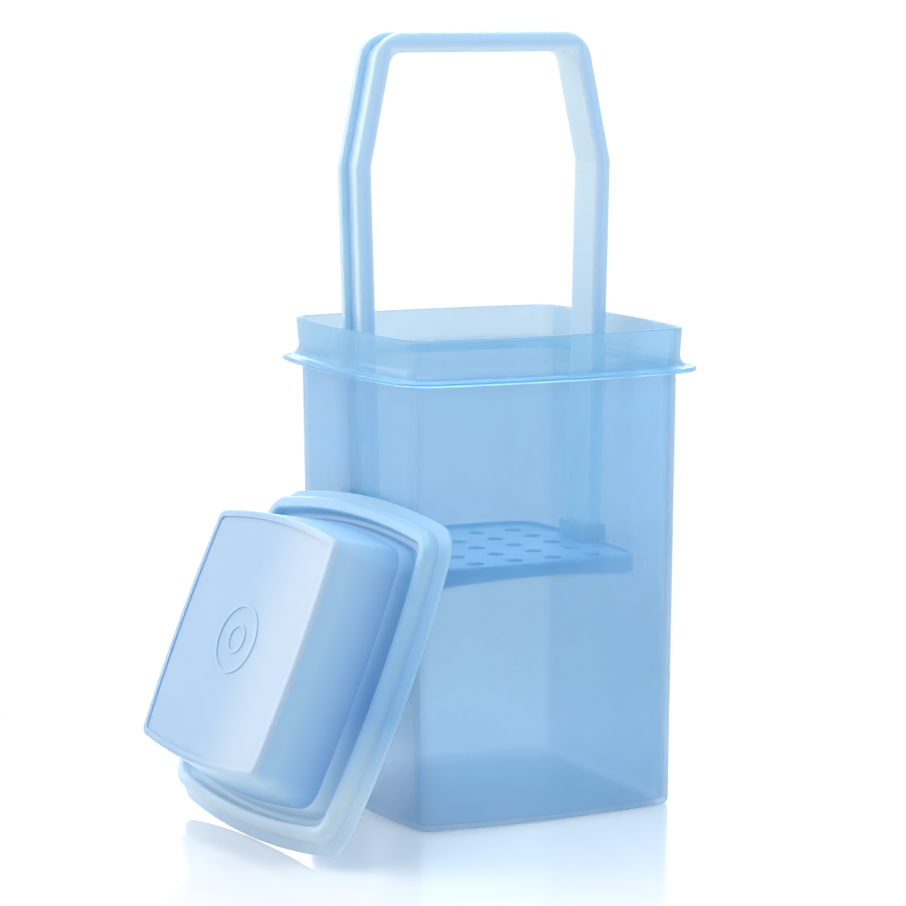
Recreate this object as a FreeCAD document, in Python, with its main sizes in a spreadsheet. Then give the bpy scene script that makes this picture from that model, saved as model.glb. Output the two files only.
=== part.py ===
import FreeCAD, Part
import Sketcher
import math
import os
import re

V = FreeCAD.Vector
doc = FreeCAD.newDocument("PickleKeeper")

# ---------------------------------------------------------------- dimensions
# Lengths in millimetres, angles in degrees. "half" is the distance from the
# middle of a piece to the middle of its side, "bow" the radius that the side
# bulges with, and "corner" the corner radius, all in plan.
DIMENSIONS = [
    # container: a tall square jar with slightly bulging walls
    ("body_base_half", 56.95, "outside of the wall at the foot"),
    ("wall_draft", 0.72, "lean of the wall"),
    ("body_corner", 7.4, "wall"),
    ("body_bow", 345, "wall"),
    ("wall", 1.8, "moulded wall"),
    ("floor_thick", 2.0, "floor"),
    ("foot_round", 1.8, "rounding around the foot"),
    ("floor_bevel", 0.6, "inside bevel where floor meets wall"),
    ("flange_level", 166.8, "underside of the flange"),
    ("flange_thick", 1.7, "flange edge"),
    ("flange_half", 66.5, "flange edge, 5 1/4 inch across"),
    ("flange_corner", 15.5, "flange edge"),
    ("flange_bow", 345, "flange edge"),
    ("flange_bevel", 0.5, "bevel of the flange edge"),
    ("under_flange_bevel", 1.0, "bevel between wall and flange"),
    ("neck_half", 59.7, "outside of the neck at the flange"),
    ("neck_draft", 4.6, "lean of the neck"),
    ("neck_corner", 7.8, "neck"),
    ("neck_bow", 345, "neck"),
    ("neck_round", 4.5, "hollow curve between flange and neck"),
    ("container_height", 183.3, "foot to rim"),
    ("rim_wall", 1.7, "rim wall"),
    ("rim_bevel", 0.5, "bevel of the rim"),
    ("ledge_bevel", 0.4, "bevel where the inside widens to the neck"),
    # strainer tray: a perforated plate with an arched skirt
    ("tray_half", 49.6, "outside of the skirt"),
    ("tray_corner", 10.2, "skirt"),
    ("tray_bow", 345, "skirt"),
    ("tray_height", 7.2, "feet to the edge of the upstand"),
    ("skirt_wall", 1.6, "skirt and upstand"),
    ("plate_level", 3.9, "underside of the plate"),
    ("plate_thick", 1.8, "perforated plate"),
    ("arch_rise", 2.0, "rise of the skirt's lower edge between the corner feet"),
    ("arch_span", 38.0, "half the length of that arch"),
    ("tray_bevel", 0.5, "bevel of the upstand"),
    ("hole_size", 3.5, "radius of a drain hole"),
    ("hole_pitch", 16.5, "spacing of the drain holes"),
    ("hole_rows", 5, "rows of drain holes, and holes in a row"),
    ("socket_inside", 42.0, "inner face of a socket"),
    ("socket_outside", 52.1, "outer face of a socket"),
    ("socket_half", 10.5, "half the width of a socket"),
    ("socket_level", 1.4, "underside of a socket"),
    ("socket_top", 13.0, "top of a socket"),
    ("socket_round", 1.5, "upright edges of a socket"),
    ("socket_play", 0.1, "gap around a leg in its socket"),
    # lift handle: an arch of channel section
    ("leg_depth", 18.0, "front to back"),
    ("leg_thick", 6.2, "side to side"),
    ("bar_thick", 7.4, "top bar, top to bottom"),
    ("leg_end", 3.2, "underside of a leg"),
    ("splay_level", 15.0, "where the legs begin to splay"),
    ("foot_half", 50.3, "outside of a leg in its socket"),
    ("knee_half", 53.9, "outside of a leg at the knee"),
    ("knee_level", 154.2, "knee"),
    ("knee_round", 9.0, "knee"),
    ("crown_half", 43.6, "where the slanted leg would meet the top"),
    ("crown_level", 204.2, "top of the bar"),
    ("crown_round", 12.0, "outer rounding of the top corner"),
    ("crown_inner_half", 38.8, "where the inner faces would meet"),
    ("crown_inner_round", 5.0, "inner rounding of the top corner"),
    ("channel_width", 11.2, "channel along the outside of the arch"),
    ("channel_deep", 2.8, "depth of the channel"),
    ("channel_start", 17.5, "lower end of the channel"),
    ("channel_crown_half", 41.3, "where the channel's faces would meet at the top"),
    ("handle_round", 0.9, "rounding along the arch's edges"),
    # lid: a deep dome inside a rim that clips over the container's rim
    ("skirt_half", 66.5, "edge of the lid's skirt"),
    ("skirt_corner", 13.6, "skirt"),
    ("skirt_bow", 325, "skirt"),
    ("skirt_edge", 1.3, "height of the skirt's edge"),
    ("skirt_rise", 2.4, "rise of the skirt from edge to clip rim"),
    ("skirt_slope", 58.8, "angle of that rise, from the upright"),
    ("skirt_lip", 0.9, "width of the skirt's lower edge"),
    ("skirt_bevel", 0.4, "bevel of the skirt's edge"),
    ("clip_half", 62.6, "outside of the clip rim"),
    ("clip_height", 8.7, "top of the clip rim above the skirt's edge"),
    ("clip_round", 3.0, "shoulder of the clip rim"),
    ("clip_inner_bevel", 0.6, "inner edge of the clip rim"),
    ("slot_outer_half", 61.15, "outer wall of the slot that takes a rim"),
    ("slot_inner_half", 58.5, "inner wall of that slot"),
    ("slot_corner", 8.9, "outer wall of that slot"),
    ("slot_top", 7.1, "top of that slot"),
    ("slot_bevel", 0.6, "bevel at the top of that slot"),
    ("gutter_half", 57.4, "outer wall of the gutter around the dome"),
    ("gutter_level", 3.9, "bottom of the gutter"),
    ("gutter_bevel", 0.8, "bevel at the bottom of the gutter"),
    ("dome_half_x", 54.3, "dome at the gutter, towards its bowed sides"),
    ("dome_half_y", 51.8, "dome at the gutter, towards its straighter sides"),
    ("dome_bow_x", 267, "dome, bowed sides"),
    ("dome_bow_y", 457, "dome, straighter sides"),
    ("dome_corner", 10.5, "dome at the gutter"),
    ("dome_height", 36.2, "dome top above the skirt's edge"),
    ("dome_draft", 12.0, "lean of the dome's walls"),
    ("dome_round", 1.2, "rounding around the dome top"),
    ("dome_wall", 1.6, "dome's walls"),
    ("dome_roof", 2.0, "dome's top"),
    ("panel_half_x", 45.0, "recessed top panel, towards the bowed sides"),
    ("panel_half_y", 42.5, "the same, towards the straighter sides"),
    ("panel_corner", 2.5, "recessed top panel"),
    ("panel_deep", 0.5, "depth of that panel"),
    ("ring_outer", 13.1, "radius of the large moulded ring"),
    ("ring_inner", 5.5, "radius of the small moulded ring"),
    ("ring_width", 0.9, "width of a moulded ring"),
    ("ring_raise", 0.4, "height of a moulded ring"),
    # how the pieces stand to each other
    ("strainer_side", -2.15, "lifted strainer stands towards one wall"),
    ("strainer_back", 4.7, "and towards the back"),
    ("strainer_lift", 89.2, "feet of the lifted strainer above the ground"),
    ("lid_lean", 66.6, "lid tipped up from lying flat"),
    ("lid_turn", 6.2, "lid turned about the upright"),
    ("lid_side", -84.3, "middle of the leaning lid's mouth, side to side"),
    ("lid_back", -27.0, "the same, front to back"),
    ("lid_level", 60.88, "the same, above the ground"),
]

sheet = doc.addObject("Spreadsheet::Sheet", "dims")
for row, (word, value, meaning) in enumerate(DIMENSIONS, start=1):
    sheet.set(f"A{row}", word)
    sheet.set(f"B{row}", str(value))
    sheet.set(f"C{row}", meaning)
    sheet.setAlias(f"B{row}", word)
doc.recompute()


def cell(expression):
    """The expression with each dimension's word led by the sheet's name."""
    return re.sub(r"\b([a-z]\w*)\b(?!\()", r"dims.\1", expression)


def size(expression):
    """The expression's number, for the first drawing of a sketch."""
    return float(sheet.evalExpression(cell(expression)))


# ------------------------------------------------------------ sketch helpers
def new_body(name):
    body = doc.addObject("PartDesign::Body", name)
    body.Label = name
    return body


def origin_item(body, role):
    return next(item for item in body.Origin.OriginFeatures if item.Role == role)


def new_sketch(body, name, role, level="0"):
    """A sketch on one of the body's own planes, moved along its normal."""
    sketch = body.newObject("Sketcher::SketchObject", name)
    sketch.AttachmentSupport = (origin_item(body, role), "")
    sketch.MapMode = "FlatFace"
    if level != "0":
        sketch.setExpression(".AttachmentOffset.Base.z", cell(level))
    return sketch


def bind(sketch, constraint, expression):
    """Add a constraint whose value comes from the sheet."""
    index = sketch.addConstraint(constraint)
    sketch.setExpression(f"Constraints[{index}]", cell(expression))


def pin(sketch, geometry, point, x, y):
    """Hold a point of the sketch at (x, y) from the origin."""
    for kind, axis, expression in (("DistanceX", -2, x), ("DistanceY", -1, y)):
        value = size(expression)
        if abs(value) < 1e-9:
            sketch.addConstraint(Sketcher.Constraint("PointOnObject", geometry, point, axis))
        else:
            bind(sketch, Sketcher.Constraint(kind, -1, 1, geometry, point, value), expression)


def draw_square(sketch, half_x, half_y, corner, bow_x, bow_y):
    """Closed outline of four bowed sides joined by four corner arcs."""
    wide, deep, bend = size(half_x), size(half_y), size(corner)
    radius_x, radius_y = size(bow_x), size(bow_y)
    side_x, side_y = wide - radius_x, deep - radius_y      # centres of two sides
    # a corner's centre is as far from each side's centre as tangency asks
    apart = math.hypot(side_x, side_y)
    along = ((radius_x - bend) ** 2 - (radius_y - bend) ** 2 + apart ** 2) / (2 * apart)
    across = math.sqrt((radius_x - bend) ** 2 - along ** 2)
    corner_x = side_x - (side_x * along + side_y * across) / apart
    corner_y = (side_y * along - side_x * across) / apart
    turn_x = math.atan2(corner_y, corner_x - side_x)
    turn_y = math.atan2(corner_x, corner_y - side_y)

    def arc(x, y, radius, start, end):
        circle = Part.Circle(V(x, y, 0), V(0, 0, 1), radius)
        return sketch.addGeometry(Part.ArcOfCircle(circle, start, end))

    turn = math.pi / 2
    ring = [
        arc(side_x, 0, radius_x, -turn_x, turn_x),
        arc(corner_x, corner_y, bend, turn_x, turn - turn_y),
        arc(0, side_y, radius_y, turn - turn_y, turn + turn_y),
        arc(-corner_x, corner_y, bend, turn + turn_y, 2 * turn - turn_x),
        arc(-side_x, 0, radius_x, 2 * turn - turn_x, 2 * turn + turn_x),
        arc(-corner_x, -corner_y, bend, 2 * turn + turn_x, 3 * turn - turn_y),
        arc(0, -side_y, radius_y, 3 * turn - turn_y, 3 * turn + turn_y),
        arc(corner_x, -corner_y, bend, 3 * turn + turn_y, 4 * turn - turn_x),
    ]
    for one, other in zip(ring, ring[1:] + ring[:1]):
        sketch.addConstraint(Sketcher.Constraint("Tangent", one, 2, other, 1))
    right, back, left, front = ring[0::2]
    for side, axis in ((right, -1), (left, -1), (back, -2), (front, -2)):
        sketch.addConstraint(Sketcher.Constraint("PointOnObject", side, 3, axis))
    for one, other, way, half, bow in ((right, left, "DistanceX", half_x, bow_x),
                                       (back, front, "DistanceY", half_y, bow_y)):
        reach = size(bow) - size(half)
        bind(sketch, Sketcher.Constraint(way, one, 3, -1, 1, reach), f"{bow} - ({half})")
        bind(sketch, Sketcher.Constraint(way, -1, 1, other, 3, reach), f"{bow} - ({half})")
        bind(sketch, Sketcher.Constraint("Radius", one, size(bow)), bow)
        sketch.addConstraint(Sketcher.Constraint("Equal", one, other))
    bind(sketch, Sketcher.Constraint("Radius", ring[1], bend), corner)
    for other in ring[3::2]:
        sketch.addConstraint(Sketcher.Constraint("Equal", ring[1], other))


def even(half, corner, bow):
    """The same on all four sides."""
    return half, half, corner, bow, bow


def inset(outline, by):
    """The same outline, moved inward all round."""
    return tuple(f"{value} - ({by})" for value in outline)


def draw_outline(sketch, points):
    """Closed outline of straight edges through points (x, y), or
    (x, y, radius) where a corner is rounded."""
    count = len(points)
    spots = [V(size(point[0]), size(point[1]), 0) for point in points]
    rounds = [size(point[2]) if len(point) > 2 else 0 for point in points]
    ends = []                                   # where each corner's bend starts and stops
    for i, spot in enumerate(spots):
        before = (spots[i - 1] - spot).normalize()
        after = (spots[(i + 1) % count] - spot).normalize()
        opening = before.getAngle(after)
        trim = rounds[i] / math.tan(opening / 2)
        ends.append((spot + before * trim, spot + after * trim, opening))
    lines = []
    for i in range(count):
        line = Part.LineSegment(ends[i][1], ends[(i + 1) % count][0])
        lines.append(sketch.addGeometry(line))
    for i, point in enumerate(points):
        before, after = lines[i - 1], lines[i]
        if not rounds[i]:
            sketch.addConstraint(Sketcher.Constraint("Coincident", before, 2, after, 1))
            pin(sketch, after, 1, point[0], point[1])
            continue
        start, stop, opening = ends[i]
        inward = ((start + stop) / 2 - spots[i]).normalize()
        middle = spots[i] + inward * rounds[i] * (1 / math.sin(opening / 2) - 1)
        bend = sketch.addGeometry(Part.Arc(start, middle, stop))
        turns_left = (middle - start).cross(stop - middle).z > 0
        enter, leave = (1, 2) if turns_left else (2, 1)
        sketch.addConstraint(Sketcher.Constraint("Tangent", before, 2, bend, enter))
        sketch.addConstraint(Sketcher.Constraint("Tangent", bend, leave, after, 1))
        bind(sketch, Sketcher.Constraint("Radius", bend, rounds[i]), point[2])
        apex = sketch.addGeometry(Part.Point(spots[i]), True)
        sketch.addConstraint(Sketcher.Constraint("PointOnObject", apex, 1, before))
        sketch.addConstraint(Sketcher.Constraint("PointOnObject", apex, 1, after))
        pin(sketch, apex, 1, point[0], point[1])


def draw_circle(sketch, x, y, radius):
    circle = Part.Circle(V(size(x), size(y), 0), V(0, 0, 1), size(radius))
    index = sketch.addGeometry(circle)
    pin(sketch, index, 3, x, y)
    bind(sketch, Sketcher.Constraint("Radius", index, size(radius)), radius)


# ----------------------------------------------------------- feature helpers
def extrude(body, name, kind, sketch, length, up=True, draft=None, symmetric=False):
    """Pad or Pocket of a sketch. A Pocket naturally runs against the sketch's
    normal, so up is turned round for it."""
    doc.recompute()
    before = body.Shape.Volume if body.Shape.Solids else 0
    feature = body.newObject(f"PartDesign::{kind}", name)
    feature.Profile = sketch
    feature.setExpression("Length", cell(length))
    if draft:
        feature.setExpression("TaperAngle", cell(draft))
    if symmetric:
        feature.SideType = "Symmetric"
    else:
        feature.Reversed = up == (kind == "Pocket")
    doc.recompute()
    grown = body.Shape.Volume - before
    if (grown > 0) != (kind == "Pad"):
        raise RuntimeError(f"{name} changed nothing")
    return feature


def square_feature(body, name, kind, level, outlines, length, up=True, draft=None):
    """Pad or Pocket whose sketch holds one bowed square, or two for a ring."""
    sketch = new_sketch(body, f"{name}_sketch", "XY_Plane", level)
    for outline in outlines:
        draw_square(sketch, *outline)
    return extrude(body, name, kind, sketch, length, up, draft)


def level_loop(body, level, outer=True, largest=True):
    """Names of the edges around the flat face at one height."""
    shape = body.Tip.Shape
    flats = []
    for face in shape.Faces:
        box = face.BoundBox
        if abs(box.ZMin - level) < 0.01 and abs(box.ZMax - level) < 0.01:
            flats.append(face)
    flats.sort(key=lambda face: face.OuterWire.BoundBox.XLength)
    face = flats[-1] if largest else flats[0]
    edges = face.OuterWire.Edges
    if not outer:
        edges = [edge for wire in face.Wires if not wire.isSame(face.OuterWire) for edge in wire.Edges]
    return [f"Edge{i + 1}" for i, edge in enumerate(shape.Edges)
            if any(edge.isSame(wanted) for wanted in edges)]


def chosen_edges(body, wanted):
    """Names of the edges for which wanted(bounding box) is true."""
    return [f"Edge{i + 1}" for i, edge in enumerate(body.Tip.Shape.Edges) if wanted(edge.BoundBox)]


def round_edges(body, name, edges, radius):
    fillet = body.newObject("PartDesign::Fillet", name)
    fillet.Base = (fillet.BaseFeature or body.Tip, edges)
    fillet.setExpression("Radius", cell(radius))
    doc.recompute()


def break_edges(body, name, edges, width):
    """A small flat bevel where a rounding would be too fine to see."""
    chamfer = body.newObject("PartDesign::Chamfer", name)
    chamfer.Base = (chamfer.BaseFeature or body.Tip, edges)
    chamfer.setExpression("Size", cell(width))
    doc.recompute()


# ----------------------------------------------------------------- container
def make_container():
    body = new_body("container")
    wall_base = even("body_base_half", "body_corner", "body_bow")
    square_feature(body, "jar_wall", "Pad", "0", [wall_base], "flange_level", draft="wall_draft")
    round_edges(body, "jar_foot_round", level_loop(body, 0), "foot_round")
    square_feature(body, "jar_flange", "Pad", "flange_level",
                   [even("flange_half", "flange_corner", "flange_bow")], "flange_thick")
    flange_top = size("flange_level + flange_thick")
    edge_loops = level_loop(body, size("flange_level")) + level_loop(body, flange_top)
    break_edges(body, "jar_flange_bevel", edge_loops, "flange_bevel")
    under_flange = level_loop(body, size("flange_level"), outer=False)
    break_edges(body, "jar_under_flange_bevel", under_flange, "under_flange_bevel")
    neck = even("neck_half", "neck_corner", "neck_bow")
    square_feature(body, "jar_neck", "Pad", "flange_level + flange_thick", [neck],
                   "container_height - flange_level - flange_thick",
                   draft="neck_draft")
    round_edges(body, "jar_neck_round", level_loop(body, flange_top, outer=False), "neck_round")
    # the inside: straight walls, a ledge that leads out to the neck, and the rim
    square_feature(body, "jar_inside", "Pocket", "floor_thick", [inset(wall_base, "wall")],
                   "container_height - floor_thick", draft="wall_draft")
    break_edges(body, "jar_floor_bevel", level_loop(body, size("floor_thick")), "floor_bevel")
    square_feature(body, "jar_neck_inside", "Pocket", "flange_level + flange_thick",
                   [inset(neck, "rim_wall")],
                   "container_height - flange_level - flange_thick", draft="neck_draft")
    break_edges(body, "jar_ledge_bevel", level_loop(body, flange_top, outer=False, largest=False),
                "ledge_bevel")
    top = size("container_height")
    rim_loops = level_loop(body, top) + level_loop(body, top, outer=False)
    break_edges(body, "jar_rim_bevel", rim_loops, "rim_bevel")
    return body


# -------------------------------------------------------------- strainer tray
def make_tray():
    body = new_body("strainer_tray")
    outline = even("tray_half", "tray_corner", "tray_bow")
    inside = inset(outline, "skirt_wall")
    square_feature(body, "tray_block", "Pad", "0", [outline], "tray_height")
    square_feature(body, "tray_top", "Pocket", "plate_level + plate_thick", [inside], "tray_height")
    square_feature(body, "tray_underside", "Pocket", "plate_level", [inside], "plate_level", up=False)
    break_edges(body, "tray_edge_bevel", level_loop(body, size("tray_height")), "tray_bevel")
    # each side of the skirt rises in a shallow arch between the corner feet
    for role in ("XZ_Plane", "YZ_Plane"):
        arch = new_sketch(body, f"tray_arch_{role[:2]}", role)
        draw_arch(arch, "arch_span", "arch_rise")
        extrude(body, f"tray_arches_{role[:2]}", "Pocket", arch, "4 * tray_half", symmetric=True)
    # a socket for each leg, standing out through the skirt
    block = new_sketch(body, "socket_block_sketch", "XY_Plane", "socket_level")
    draw_outline(block, [
        ("socket_inside", "-socket_half"),
        ("socket_outside", "-socket_half", "socket_round"),
        ("socket_outside", "socket_half", "socket_round"),
        ("socket_inside", "socket_half"),
    ])
    socket = extrude(body, "socket_block", "Pad", block, "socket_top - socket_level")
    hollow = new_sketch(body, "socket_hollow_sketch", "XY_Plane", "leg_end")
    draw_outline(hollow, [
        ("foot_half - leg_thick - socket_play", "-leg_depth / 2 - socket_play"),
        ("foot_half + socket_play", "-leg_depth / 2 - socket_play"),
        ("foot_half + socket_play", "leg_depth / 2 + socket_play"),
        ("foot_half - leg_thick - socket_play", "leg_depth / 2 + socket_play"),
    ])
    opening = extrude(body, "socket_hollow", "Pocket", hollow, "socket_top")
    mirror(body, "other_socket", [socket, opening])
    # drain holes, in rows and columns
    first = new_sketch(body, "first_hole_sketch", "XY_Plane", "plate_level")
    draw_circle(first, "-hole_pitch * (hole_rows - 1) / 2", "-hole_pitch * (hole_rows - 1) / 2", "hole_size")
    hole = extrude(body, "first_hole", "Pocket", first, "plate_thick")
    holes = body.newObject("PartDesign::LinearPattern", "drain_holes")
    holes.Originals = [hole]
    holes.Direction = (origin_item(body, "X_Axis"), [""])
    holes.Direction2 = (origin_item(body, "Y_Axis"), [""])
    for suffix in ("", "2"):
        holes.setExpression(f"Length{suffix}", cell("hole_pitch * (hole_rows - 1)"))
        holes.setExpression(f"Occurrences{suffix}", cell("hole_rows"))
    body.Tip = holes
    doc.recompute()
    return body


def draw_arch(sketch, span, rise):
    """A flat arch over the origin, open at ground level."""
    reach, crown = size(span), size(rise)
    bow = Part.Arc(V(reach, 0, 0), V(0, crown, 0), V(-reach, 0, 0))
    curve = sketch.addGeometry(bow)
    chord = sketch.addGeometry(Part.LineSegment(V(-reach, 0, 0), V(reach, 0, 0)))
    sketch.addConstraint(Sketcher.Constraint("Coincident", curve, 2, chord, 1))
    sketch.addConstraint(Sketcher.Constraint("Coincident", chord, 2, curve, 1))
    sketch.addConstraint(Sketcher.Constraint("Symmetric", chord, 1, chord, 2, -1, 1))
    pin(sketch, chord, 2, span, "0")
    radius = (reach ** 2 + crown ** 2) / (2 * crown)
    bind(sketch, Sketcher.Constraint("Radius", curve, radius), f"({span} ^ 2 + {rise} ^ 2) / (2 * {rise})")


def mirror(body, name, features):
    """Repeat features on the other side of the piece, across its middle."""
    twin = body.newObject("PartDesign::Mirrored", name)
    twin.Originals = features
    twin.MirrorPlane = (origin_item(body, "YZ_Plane"), [""])
    body.Tip = twin
    doc.recompute()
    return twin


# ---------------------------------------------------------------- lift handle
def make_handle():
    body = new_body("lift_handle")
    half = new_sketch(body, "arch_sketch", "XZ_Plane")
    draw_outline(half, [
        ("foot_half - leg_thick", "leg_end"),
        ("foot_half", "leg_end"),
        ("foot_half", "splay_level"),
        ("knee_half", "knee_level", "knee_round"),
        ("crown_half", "crown_level", "crown_round"),
        ("0", "crown_level"),
        ("0", "crown_level - bar_thick"),
        ("crown_inner_half", "crown_level - bar_thick", "crown_inner_round"),
        ("knee_half - leg_thick", "knee_level", "knee_round"),
        ("foot_half - leg_thick", "splay_level"),
    ])
    arch = extrude(body, "half_arch", "Pad", half, "leg_depth", symmetric=True)
    band = new_sketch(body, "channel_sketch", "XZ_Plane")
    draw_outline(band, [
        ("foot_half - channel_deep", "channel_start"),
        ("knee_half + leg_thick", "channel_start"),
        ("knee_half + leg_thick", "crown_level + bar_thick"),
        ("0", "crown_level + bar_thick"),
        ("0", "crown_level - channel_deep"),
        ("channel_crown_half", "crown_level - channel_deep", "crown_round - channel_deep"),
        ("knee_half - channel_deep", "knee_level", "knee_round"),
    ])
    channel = extrude(body, "half_channel", "Pocket", band, "channel_width", symmetric=True)
    mirror(body, "whole_arch", [arch, channel])
    face = size("leg_depth") / 2
    above = size("splay_level")
    long_edges = chosen_edges(body, lambda box: abs(abs(box.YMin) - face) < 0.01
                              and box.YLength < 0.01 and box.ZMax > above)
    round_edges(body, "arch_round", long_edges, "handle_round")
    return body


# ------------------------------------------------------------------------ lid
def make_lid():
    body = new_body("lid")
    skirt = even("skirt_half", "skirt_corner", "skirt_bow")
    square_feature(body, "skirt_edge_pad", "Pad", "0", [skirt], "skirt_edge")
    square_feature(body, "skirt_slope_pad", "Pad", "skirt_edge", [skirt], "skirt_rise",
                   draft="-skirt_slope")
    clip = inset(skirt, "skirt_half - clip_half")
    square_feature(body, "clip_pad", "Pad", "skirt_edge", [clip], "clip_height - skirt_edge")
    gutter = inset(skirt, "skirt_half - gutter_half")
    square_feature(body, "gutter_pocket", "Pocket", "gutter_level", [gutter], "clip_height - gutter_level")
    clip_top = size("clip_height")
    round_edges(body, "clip_shoulder", level_loop(body, clip_top), "clip_round")
    break_edges(body, "clip_inner_bevel", level_loop(body, clip_top, outer=False), "clip_inner_bevel")
    dome = ("dome_half_x", "dome_half_y", "dome_corner", "dome_bow_x", "dome_bow_y")
    square_feature(body, "dome_pad", "Pad", "gutter_level", [dome], "dome_height - gutter_level",
                   draft="-dome_draft")
    gutter_floor = size("gutter_level")
    gutter_loops = level_loop(body, gutter_floor) + level_loop(body, gutter_floor, outer=False)
    break_edges(body, "gutter_bevel_edges", gutter_loops, "gutter_bevel")
    round_edges(body, "dome_edge", level_loop(body, size("dome_height")), "dome_round")
    # the mouth: hollow skirt, the slot that clips over a rim, and the dome's inside
    under = inset(skirt, "skirt_lip")
    square_feature(body, "skirt_hollow", "Pocket", "0", [under], "skirt_rise", draft="-skirt_slope")
    slot_outside = even("slot_outer_half", "slot_corner", "neck_bow")
    slot_inside = inset(slot_outside, "slot_outer_half - slot_inner_half")
    square_feature(body, "clip_slot", "Pocket", "0", [slot_outside, slot_inside], "slot_top")
    slot_roof = size("slot_top")
    slot_loops = level_loop(body, slot_roof) + level_loop(body, slot_roof, outer=False)
    break_edges(body, "clip_slot_bevel", slot_loops, "slot_bevel")
    square_feature(body, "dome_hollow", "Pocket", "skirt_rise", [inset(dome, "dome_wall")],
                   "dome_height - dome_roof - skirt_rise", draft="-dome_draft")
    break_edges(body, "skirt_edge_bevel", level_loop(body, 0), "skirt_bevel")
    # a recessed panel with two moulded rings on top
    panel = ("panel_half_x", "panel_half_y", "panel_corner", "dome_bow_x", "dome_bow_y")
    square_feature(body, "panel_pocket", "Pocket", "dome_height - panel_deep", [panel], "panel_deep")
    rings = new_sketch(body, "rings_sketch", "XY_Plane", "dome_height - panel_deep")
    for radius in ("ring_outer", "ring_outer - ring_width", "ring_inner", "ring_inner - ring_width"):
        draw_circle(rings, "0", "0", radius)
    extrude(body, "moulded_rings", "Pad", rings, "ring_raise")
    return body


# ------------------------------------------------------------------- assembly
def stand(body, side, back, level, turn=None):
    """Set a piece's place; turn is set first because the lengths follow it."""
    if turn:
        body.Placement = FreeCAD.Placement(V(0, 0, 0), turn)
    for axis, expression in (("x", side), ("y", back), ("z", level)):
        body.setExpression(f".Placement.Base.{axis}", cell(expression))


container = make_container()
tray = make_tray()
handle = make_handle()
lid = make_lid()
for piece in (tray, handle):
    stand(piece, "strainer_side", "strainer_back", "strainer_lift")
tipped = FreeCAD.Rotation(V(0, 1, 0), -size("lid_lean"))
turned = FreeCAD.Rotation(V(0, 0, 1), size("lid_turn"))
stand(lid, "lid_side", "lid_back", "lid_level", turned.multiply(tipped))
doc.recompute()

# --------------------------------------------------------------------- output
for item in doc.Objects:
    if "Invalid" in item.State or "Error" in item.State:
        raise RuntimeError(f"{item.Label} did not build")
os.makedirs("parts", exist_ok=True)
for piece in (container, tray, handle, lid):
    shape = piece.Shape
    if shape.isNull() or not shape.isValid() or len(shape.Solids) != 1:
        raise RuntimeError(f"{piece.Label} is not one good solid")
    shape.exportStep(f"parts/{piece.Label}.step")
    print(f"{piece.Label}: {shape.Volume / 1000:.1f} cm3, {len(shape.Faces)} faces")
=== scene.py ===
import bmesh
import bpy
import math
from mathutils import Euler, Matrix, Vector


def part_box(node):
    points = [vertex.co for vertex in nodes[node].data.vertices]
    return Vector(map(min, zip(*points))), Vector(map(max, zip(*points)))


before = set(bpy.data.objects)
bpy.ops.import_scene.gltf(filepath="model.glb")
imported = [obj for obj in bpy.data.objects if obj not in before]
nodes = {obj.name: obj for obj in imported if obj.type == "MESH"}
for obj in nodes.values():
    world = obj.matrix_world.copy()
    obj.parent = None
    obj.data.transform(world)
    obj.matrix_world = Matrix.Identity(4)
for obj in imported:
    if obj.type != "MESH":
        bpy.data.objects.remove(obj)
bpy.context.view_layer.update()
print("frame loaded:", ", ".join(sorted(nodes)))


def linearColour(hexCode):
    # sRGB hex to the linear values that shader sockets take
    parts = [int(hexCode[i:i + 2], 16) / 255 for i in (1, 3, 5)]
    return [p / 12.92 if p <= 0.04045 else ((p + 0.055) / 1.055) ** 2.4 for p in parts] + [1.0]


def newMaterial(name):
    material = bpy.data.materials.new(name)
    material.use_nodes = True
    material.node_tree.nodes.clear()
    return material, material.node_tree


def addNode(tree, kind, settings=None, inputs=None, stops=None):
    # an input that is another node's socket is linked, any other is set; stops fill a colour ramp
    node = tree.nodes.new(kind)
    for key, value in (settings or {}).items():
        setattr(node, key, value)
    for key, source in (inputs or {}).items():
        if isinstance(source, bpy.types.NodeSocket):
            tree.links.new(source, node.inputs[key])
        else:
            node.inputs[key].default_value = source
    if stops:
        elements = node.color_ramp.elements
        while len(elements) < len(stops):
            elements.new(0.5)
        for element, (position, hexCode) in zip(elements, stops):
            element.position = position
            element.color = linearColour(hexCode)
    return node


def toneOver(tree, distance, stops):
    # colours along a distance in mm, which ends at the last stop
    shown = stops[-1][0]
    share = addNode(tree, "ShaderNodeMath", {"operation": "DIVIDE"}, {0: distance, 1: shown})
    return addNode(tree, "ShaderNodeValToRGB", inputs={"Fac": share.outputs[0]},
                   stops=[(far / shown, hexCode) for far, hexCode in stops]).outputs["Color"]


def distanceFrom(tree, place, start, direction):
    # how far a point lies from a start along a direction, in mm
    offset = addNode(tree, "ShaderNodeVectorMath", {"operation": "SUBTRACT"}, {0: place, 1: start})
    perMm = [1000 * part for part in direction]
    return addNode(tree, "ShaderNodeVectorMath", {"operation": "DOT_PRODUCT"},
                   {0: offset.outputs["Vector"], 1: perMm}).outputs["Value"]


origin = (0, 0, 0)
upwards = (0, 0, 1)
white = linearColour("#FFFFFF")

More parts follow.
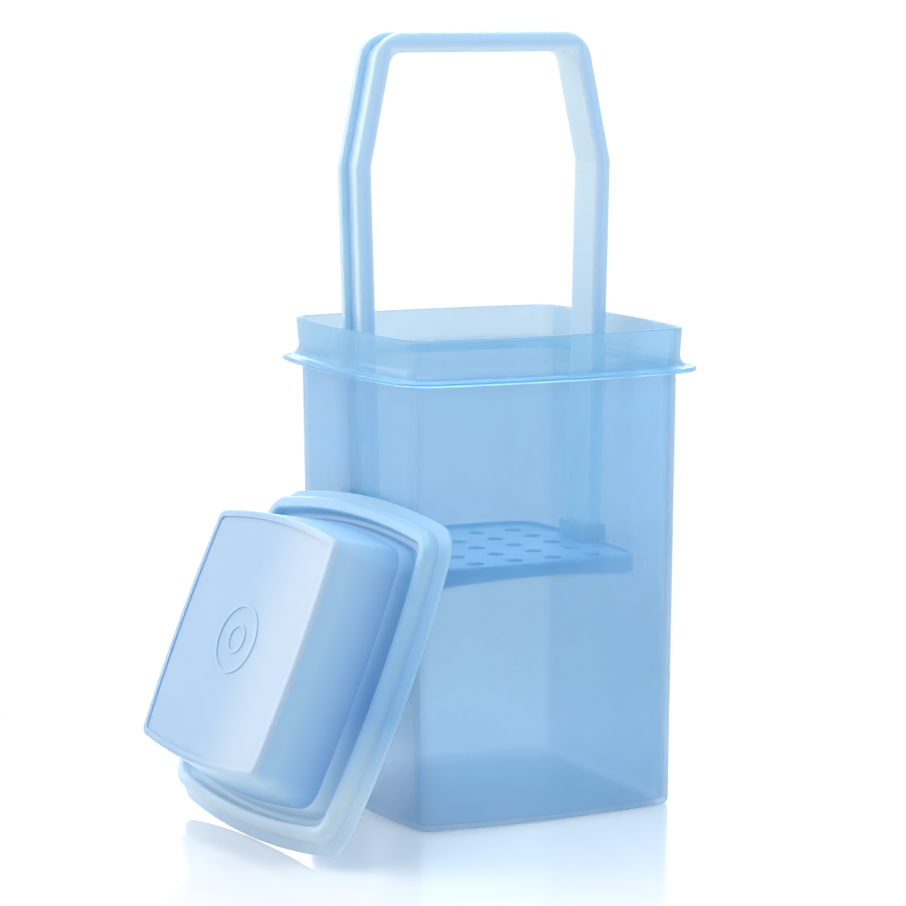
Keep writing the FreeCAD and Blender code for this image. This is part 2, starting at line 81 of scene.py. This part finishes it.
# each piece below says how cloudy one wall is, seen square on (opacityFace) and edge-on
# (opacityEdge), how far its body is clear rather than milky (clear), how much light spreads
# inside it (glow), and how large its flow marks and its grain are
moulding = {    # what the four mouldings share
    "ior": 1.5,
    "flowStops": (0.3, 0.5, 0.7), "flowDetail": 3.0, "grainDetail": 2.0, "grainHeight": 0.0002,
    "smoother": 0.04, "rougher": 0.06,      # how far the flow marks move the roughness down and up
    "toneShare": 0.85,                      # how far a piece's tone, painted light and shade included, covers the flow marks' colours
    "edgeBlend": 0.35,                      # how soon a wall turns cloudier as it is seen edge-on
    "glowRadius": (0.6, 0.8, 1.0), "glowDepth": 0.004,      # light inside the plastic, in metres
}


def mouldedPlastic(look, toneWithPaintedLight=None, thickPart=None):
    # polyolefin from a polished mould: a soft sheen, faint flow marks and a very fine grain,
    # which is drawn coarser than the real one so that it shows
    material, tree = newMaterial(look["material"])
    place = addNode(tree, "ShaderNodeTexCoord").outputs["Object"]
    flow = addNode(tree, "ShaderNodeTexNoise", inputs={
        "Vector": place, "Scale": 1000 / look["flowMm"],
        "Detail": moulding["flowDetail"]}).outputs["Fac"]
    grain = addNode(tree, "ShaderNodeTexNoise", inputs={
        "Vector": place, "Scale": 1000 / look["grainMm"],
        "Detail": moulding["grainDetail"]}).outputs["Fac"]
    flowColours = (look["deep"], look["middle"], look["light"])
    colour = addNode(tree, "ShaderNodeValToRGB", inputs={"Fac": flow},
                     stops=list(zip(moulding["flowStops"], flowColours))).outputs["Color"]
    # a piece's tone over its shape, where given, carries its painted light and shade
    if toneWithPaintedLight:
        colour = addNode(tree, "ShaderNodeMix", {"data_type": "RGBA"},
                         {0: moulding["toneShare"], 6: colour, 7: toneWithPaintedLight(tree, place)}).outputs[2]
    bump = addNode(tree, "ShaderNodeBump", inputs={
        "Strength": look["bump"], "Distance": moulding["grainHeight"], "Height": grain})
    sheen = addNode(tree, "ShaderNodeMapRange", inputs={
        "Value": flow, "To Min": look["roughness"] - moulding["smoother"],
        "To Max": look["roughness"] + moulding["rougher"]})
    surface = {"Base Color": colour, "Roughness": sheen.outputs["Result"],
               "Normal": bump.outputs["Normal"], "IOR": moulding["ior"],
               "Transmission Weight": look["clear"], "Subsurface Weight": look["glow"],
               "Subsurface Radius": moulding["glowRadius"],
               "Subsurface Scale": moulding["glowDepth"]}
    if "opacityFace" in look:
        # seen edge-on, light crosses more of the cloudy wall
        facing = addNode(tree, "ShaderNodeLayerWeight", inputs={"Blend": moulding["edgeBlend"]})
        surface["Alpha"] = addNode(tree, "ShaderNodeMapRange", inputs={
            "Value": facing.outputs["Facing"], "To Min": look["opacityFace"],
            "To Max": look["opacityEdge"]}).outputs["Result"]
    if thickPart:
        surface["Alpha"] = addNode(tree, "ShaderNodeMath", {"operation": "MAXIMUM"},
                                   {0: surface["Alpha"], 1: thickPart(tree, place)}).outputs[0]
    plastic = addNode(tree, "ShaderNodeBsdfPrincipled", inputs=surface)
    addNode(tree, "ShaderNodeOutputMaterial", inputs={"Surface": plastic.outputs["BSDF"]})
    return material


def dressPiece(nodeName, material):
    piece = nodes[nodeName]
    piece.data.materials.clear()
    piece.data.materials.append(material)
    print("plastic on", nodeName)


# the jar is blue polypropylene from a polished mould: milky and glossy, so what stands behind
# its thin wall shows soft and blue
container = {
    "material": "translucentPolypropyleneMoulded",
    "deep": "#7ECBF3", "middle": "#89D3F7", "light": "#98DBF9",
    "roughness": 0.22, "opacityFace": 0.38, "opacityEdge": 0.82, "clear": 0.5,
    "glow": 0.0, "flowMm": 70, "grainMm": 0.9, "bump": 0.02,
    "levelsWithPaintedLight": [     # the colour at each height over the foot, in mm; the paler band above the foot and the paler rim are painted light
        (0.0, "#84C4EE"), (3.0, "#9CD4F5"), (14.0, "#90D3F7"), (160.0, "#88D1F7"),
        (163.0, "#80C8EE"), (167.0, "#80C8EE"), (170.0, "#96DAF7"), (183.3, "#96DAF7")],
    "flangeFrom": 166.2, "flangeTo": 168.6, "flangeOpacity": 0.8,       # heights in mm
}


def wallToneWithPaintedLight(tree, place):
    # deeper at the very foot and in the flange, a solid plate seen from its edge;
    # the paler band just above the foot and the paler rim are painted light
    height = distanceFrom(tree, place, origin, upwards)
    return toneOver(tree, height, container["levelsWithPaintedLight"])


def flangeHaze(tree, place):
    # the flange is a solid plate seen from its edge, so less light comes through it
    height = distanceFrom(tree, place, origin, upwards)
    above = addNode(tree, "ShaderNodeMath", {"operation": "GREATER_THAN"},
                    {0: height, 1: container["flangeFrom"]})
    below = addNode(tree, "ShaderNodeMath", {"operation": "LESS_THAN"},
                    {0: height, 1: container["flangeTo"]})
    within = addNode(tree, "ShaderNodeMath", {"operation": "MULTIPLY"},
                     {0: above.outputs[0], 1: below.outputs[0]})
    return addNode(tree, "ShaderNodeMath", {"operation": "MULTIPLY"},
                   {0: within.outputs[0], 1: container["flangeOpacity"]}).outputs[0]


dressPiece("container", mouldedPlastic(container, wallToneWithPaintedLight, flangeHaze))

# the tray is the same polypropylene in a thicker moulding: cloudy enough for its holes and
# sockets to show through the jar's wall
strainerTray = {
    "material": "translucentPolypropyleneTray",
    "deep": "#86C2EC", "middle": "#98CEF1", "light": "#AAD9F4",
    "roughness": 0.28, "opacityFace": 0.75, "opacityEdge": 0.9, "clear": 0.0,
    "glow": 0.2, "flowMm": 40, "grainMm": 0.9, "bump": 0.05,
}
dressPiece("strainer_tray", mouldedPlastic(strainerTray))

# the handle is paler polypropylene, moulded as a thin channel: nothing shows through it, but
# it glows a little where the light gets in
liftHandle = {
    "material": "palePolypropyleneHandle",
    "deep": "#CBE5F6", "middle": "#D2EAF8", "light": "#DAEEFA",
    "roughness": 0.24, "clear": 0.0, "glow": 0.8, "flowMm": 60, "grainMm": 0.9, "bump": 0.04,
    "crown": (43.6, 0.0), "knee": (53.9, 50.0), "foot": (50.3, 189.2),  # half width, depth, in mm
    "paintedLightBands": [      # the colour at each depth inside the outline, in mm: painted highlights at the edges, painted shade between
        (0.0, "#E4F4FA"), (0.6, "#D9EDF9"), (2.4, "#DAECFA"), (3.6, "#D2E6F8"),
        (5.0, "#DEEBF9"), (6.1, "#F0FBFD"), (8.0, "#EEFBFC")],
}


def archPaintedLight(tree, place):
    # how deep a point lies inside the arch's outline, which carries painted light:
    # pale bands at the outer and inner edges are painted highlights, with a painted darker band
    # between
    low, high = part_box("lift_handle")
    crownTop = ((low[0] + high[0]) / 2, 0, high[2])
    fromTop = addNode(tree, "ShaderNodeVectorMath", {"operation": "SUBTRACT"}, {0: place, 1: crownTop})
    # both legs fold onto one, and what lies below the crown counts as positive
    folded = addNode(tree, "ShaderNodeVectorMath", {"operation": "ABSOLUTE"},
                     {0: fromTop.outputs["Vector"]}).outputs["Vector"]
    depth = distanceFrom(tree, folded, origin, upwards)
    for upper, lower in (("crown", "knee"), ("knee", "foot")):
        (x0, z0), (x1, z1) = liftHandle[upper], liftHandle[lower]
        length = math.hypot(x1 - x0, z1 - z0)
        outward = ((z1 - z0) / length, 0, (x0 - x1) / length)
        edge = outward[0] * x0 + outward[2] * z0
        inside = addNode(tree, "ShaderNodeMath", {"operation": "SUBTRACT"},
                         {0: edge, 1: distanceFrom(tree, folded, origin, outward)})
        depth = addNode(tree, "ShaderNodeMath", {"operation": "MINIMUM"},
                        {0: depth, 1: inside.outputs[0]}).outputs[0]
    return toneOver(tree, depth, liftHandle["paintedLightBands"])


dressPiece("lift_handle", mouldedPlastic(liftHandle, archPaintedLight))

# the lid is polyethylene, soft enough to snap on: cloudy and waxy, with a duller sheen and
# light that spreads inside it
lid = {
    "material": "cloudyPolyethyleneLid",
    "deep": "#ACC8E6", "middle": "#B2CCE8", "light": "#B9D1EA",
    "roughness": 0.36, "clear": 0.0, "glow": 0.7, "flowMm": 60, "grainMm": 0.8, "bump": 0.06,
    "lean": 66.6, "turn": 6.2,                      # how it is tipped, in degrees
    "panelMiddle": (-0.1180, -0.0307, 0.0756),      # metres
    "paintedShadeByDepth": [     # painted shade: the colour at each depth down the dome from the panel, in mm, darker towards the dome's foot
        (0.0, "#ACC9DE"), (2.0, "#BCDCF0"), (8.0, "#C1E0F2"), (16.0, "#ADD4EE"), (26.0, "#88B9E1")],
    "panelDepth": 2.6, "rimDepth": 26.0,            # where the panel ends and the rim starts, in mm
    "paintedPanelSheen": "#D2DEE6", "paintedSheenFrom": -8.0, "paintedSheenTo": 34.0,     # a painted sheen across the panel, in mm
    "paintedLightByHeight": [    # painted light: the rim's colour at each height over the floor, in mm, paler near the floor
        (0.0, "#DFF0FF"), (24.0, "#E4F3FF"), (54.0, "#A2CBEC"), (75.0, "#A9D1ED"),
        (120.0, "#B8DCF1")],
}


def lidPaintedLight(tree, place):
    # painted shade darkens the wall towards the dome's foot, a painted sheen pales the panel towards
    # one side and painted light pales the clip rim towards the floor
    lean = math.radians(lid["lean"])
    turn = math.radians(lid["turn"])
    inward = (math.sin(lean) * math.cos(turn), math.sin(lean) * math.sin(turn), -math.cos(lean))
    sideways = (math.sin(turn), -math.cos(turn), 0)
    depth = distanceFrom(tree, place, lid["panelMiddle"], inward)
    across = distanceFrom(tree, place, lid["panelMiddle"], sideways)
    height = distanceFrom(tree, place, origin, upwards)
    onRim = addNode(tree, "ShaderNodeMath", {"operation": "GREATER_THAN"},
                    {0: depth, 1: lid["rimDepth"]})
    domeAndRim = addNode(tree, "ShaderNodeMix", {"data_type": "RGBA"},
                         {0: onRim.outputs[0], 6: toneOver(tree, depth, lid["paintedShadeByDepth"]),
                          7: toneOver(tree, height, lid["paintedLightByHeight"])})
    paintedPanelSheen = addNode(tree, "ShaderNodeMapRange", {"interpolation_type": "SMOOTHSTEP"},
                    {"Value": across, "From Min": lid["paintedSheenFrom"], "From Max": lid["paintedSheenTo"]})
    panel = addNode(tree, "ShaderNodeValToRGB", inputs={"Fac": paintedPanelSheen.outputs["Result"]},
                    stops=[(0.0, lid["paintedShadeByDepth"][0][1]), (1.0, lid["paintedPanelSheen"])])
    onPanel = addNode(tree, "ShaderNodeMath", {"operation": "LESS_THAN"},
                      {0: depth, 1: lid["panelDepth"]})
    return addNode(tree, "ShaderNodeMix", {"data_type": "RGBA"},
                   {0: onPanel.outputs[0], 6: domeAndRim.outputs[2],
                    7: panel.outputs["Color"]}).outputs[2]


dressPiece("lid", mouldedPlastic(lid, lidPaintedLight))


def seenRays(tree):
    # 1 for rays that show the studio itself, straight, in a gloss or through the plastic
    rays = addNode(tree, "ShaderNodeLightPath").outputs
    seen = addNode(tree, "ShaderNodeMath", {"operation": "MAXIMUM"},
                   {0: rays["Is Camera Ray"], 1: rays["Is Glossy Ray"]})
    return addNode(tree, "ShaderNodeMath", {"operation": "MAXIMUM"},
                   {0: seen.outputs[0], 1: rays["Is Transmission Ray"]}).outputs[0]


floorLook = {
    "colour": "#F1EDE7", "gloss": 0.32, "roughness": 0.12,
    "lift": 0.19,       # a little light of its own where it is seen, so that it looks white
    "size": 8.0, "below": 0.0002, "fadeStart": 0.1, "fadeEnd": 0.25,    # metres
}


def makeFloor():
    mesh = bpy.data.meshes.new("floor")
    shape = bmesh.new()
    bmesh.ops.create_grid(shape, x_segments=1, y_segments=1, size=floorLook["size"] / 2)
    shape.to_mesh(mesh)
    shape.free()
    floor = bpy.data.objects.new("floor", mesh)
    bpy.context.scene.collection.objects.link(floor)
    floor.location.z = -floorLook["below"]
    # white acrylic, polished: it keeps a soft shadow and mirrors what stands on it faintly
    material, tree = newMaterial("floorWhiteAcrylic")
    seen = seenRays(tree)
    matt = addNode(tree, "ShaderNodeBsdfDiffuse", inputs={"Color": linearColour(floorLook["colour"])})
    gloss = addNode(tree, "ShaderNodeBsdfGlossy",
                    inputs={"Roughness": floorLook["roughness"], "Color": white})
    mixed = addNode(tree, "ShaderNodeMixShader",
                    inputs={0: floorLook["gloss"], 1: matt.outputs[0], 2: gloss.outputs[0]})
    lift = addNode(tree, "ShaderNodeMath", {"operation": "MULTIPLY"}, {0: seen, 1: floorLook["lift"]})
    glow = addNode(tree, "ShaderNodeEmission",
                   inputs={"Color": white, "Strength": lift.outputs[0]})
    near = addNode(tree, "ShaderNodeAddShader", inputs={0: mixed.outputs[0], 1: glow.outputs[0]})
    # away from the object the floor runs out into plain white, as a lit sweep does
    place = addNode(tree, "ShaderNodeTexCoord").outputs["Object"]
    away = addNode(tree, "ShaderNodeVectorMath", {"operation": "LENGTH"}, {0: place})
    fade = addNode(tree, "ShaderNodeMapRange", {"interpolation_type": "SMOOTHSTEP"},
                   {"Value": away.outputs["Value"], "From Min": floorLook["fadeStart"],
                    "From Max": floorLook["fadeEnd"]})
    share = addNode(tree, "ShaderNodeMath", {"operation": "MULTIPLY"},
                    {0: fade.outputs["Result"], 1: seen})
    plain = addNode(tree, "ShaderNodeEmission", inputs={"Color": white, "Strength": 1.0})
    total = addNode(tree, "ShaderNodeMixShader",
                    inputs={0: share.outputs[0], 1: near.outputs[0], 2: plain.outputs[0]})
    addNode(tree, "ShaderNodeOutputMaterial", inputs={"Surface": total.outputs[0]})
    mesh.materials.append(material)


makeFloor()
print("floor laid")

room = {"strength": 0.5, "colour": "#8CC2F3"}


def makeRoom():
    # bluish light from all round, but plain white wherever the room itself is seen
    world = bpy.data.worlds.new("studio")
    bpy.context.scene.world = world
    world.use_nodes = True
    tree = world.node_tree
    tree.nodes.clear()
    lighting = addNode(tree, "ShaderNodeBackground", inputs={
        "Color": linearColour(room["colour"]), "Strength": room["strength"]})
    shown = addNode(tree, "ShaderNodeBackground", inputs={"Color": white, "Strength": 1.0})
    mixed = addNode(tree, "ShaderNodeMixShader",
                    inputs={0: seenRays(tree), 1: lighting.outputs[0], 2: shown.outputs[0]})
    addNode(tree, "ShaderNodeOutputWorld", inputs={"Surface": mixed.outputs[0]})


makeRoom()

objectMiddle = (-0.03, 0, 0.13)
lamps = {       # power in watts, the rest in metres
    "key": {"power": 17.0, "place": (-1.5, 1.35, 1.0), "size": 1.4, "colour": "#FFF4EC",
            "aim": objectMiddle},
    "top": {"power": 24.0, "place": (-0.3, 0.0, 2.1), "size": 1.6, "colour": "#FFFFFF",
            "aim": objectMiddle},
    "fill": {"power": 10.0, "place": (1.0, -2.2, 1.0), "size": 1.4, "colour": "#F4F8FF",
             "aim": objectMiddle},
    "back": {"power": 16.0, "place": (0.9, 1.9, 1.3), "size": 1.6, "colour": "#F4F8FF",
             "aim": objectMiddle},
    "card": {"power": 0.35, "place": (0.40, -0.44, 0.09), "size": 0.2, "colour": "#FFFFFF",
             "aim": (0.04, -0.06, 0.13)},
}


def addLamp(name):
    look = lamps[name]
    lamp = bpy.data.lights.new(name, "AREA")
    lamp.shape = "SQUARE"
    lamp.size = look["size"]
    lamp.energy = look["power"]
    lamp.color = linearColour(look["colour"])[:3]
    holder = bpy.data.objects.new(name + "Softbox", lamp)
    holder.location = look["place"]
    holder.rotation_euler = (Vector(look["aim"]) - holder.location).to_track_quat("-Z", "Y").to_euler()
    holder.visible_camera = False
    bpy.context.scene.collection.objects.link(holder)
    return holder


holders = {name: addLamp(name) for name in lamps}
holders["card"].visible_diffuse = False         # the card only gives the bowed wall a highlight
holders["card"].visible_transmission = False
print("room and lamps set")

camera = {
    "place": (-0.5660, -1.1340, 0.3038), "lensMm": 131.87, "sensorMm": 36.0,
    "yaw": 25.947, "pitch": 7.698, "roll": 0.147,      # degrees: to the right, down, clockwise
}


def makeCamera():
    data = bpy.data.cameras.new("camera")
    data.lens = camera["lensMm"]
    data.sensor_width = camera["sensorMm"]
    holder = bpy.data.objects.new("camera", data)
    holder.location = camera["place"]
    yaw = math.radians(camera["yaw"])
    pitch = math.radians(camera["pitch"])
    roll = math.radians(camera["roll"])
    turn = Euler((math.radians(90) - pitch, 0, -yaw)).to_matrix()
    tilt = Euler((0, 0, -roll)).to_matrix()
    holder.rotation_euler = (turn @ tilt).to_euler()
    bpy.context.scene.collection.objects.link(holder)
    bpy.context.scene.camera = holder


makeCamera()
bpy.context.scene.view_settings.view_transform = "Standard"
print("camera set")
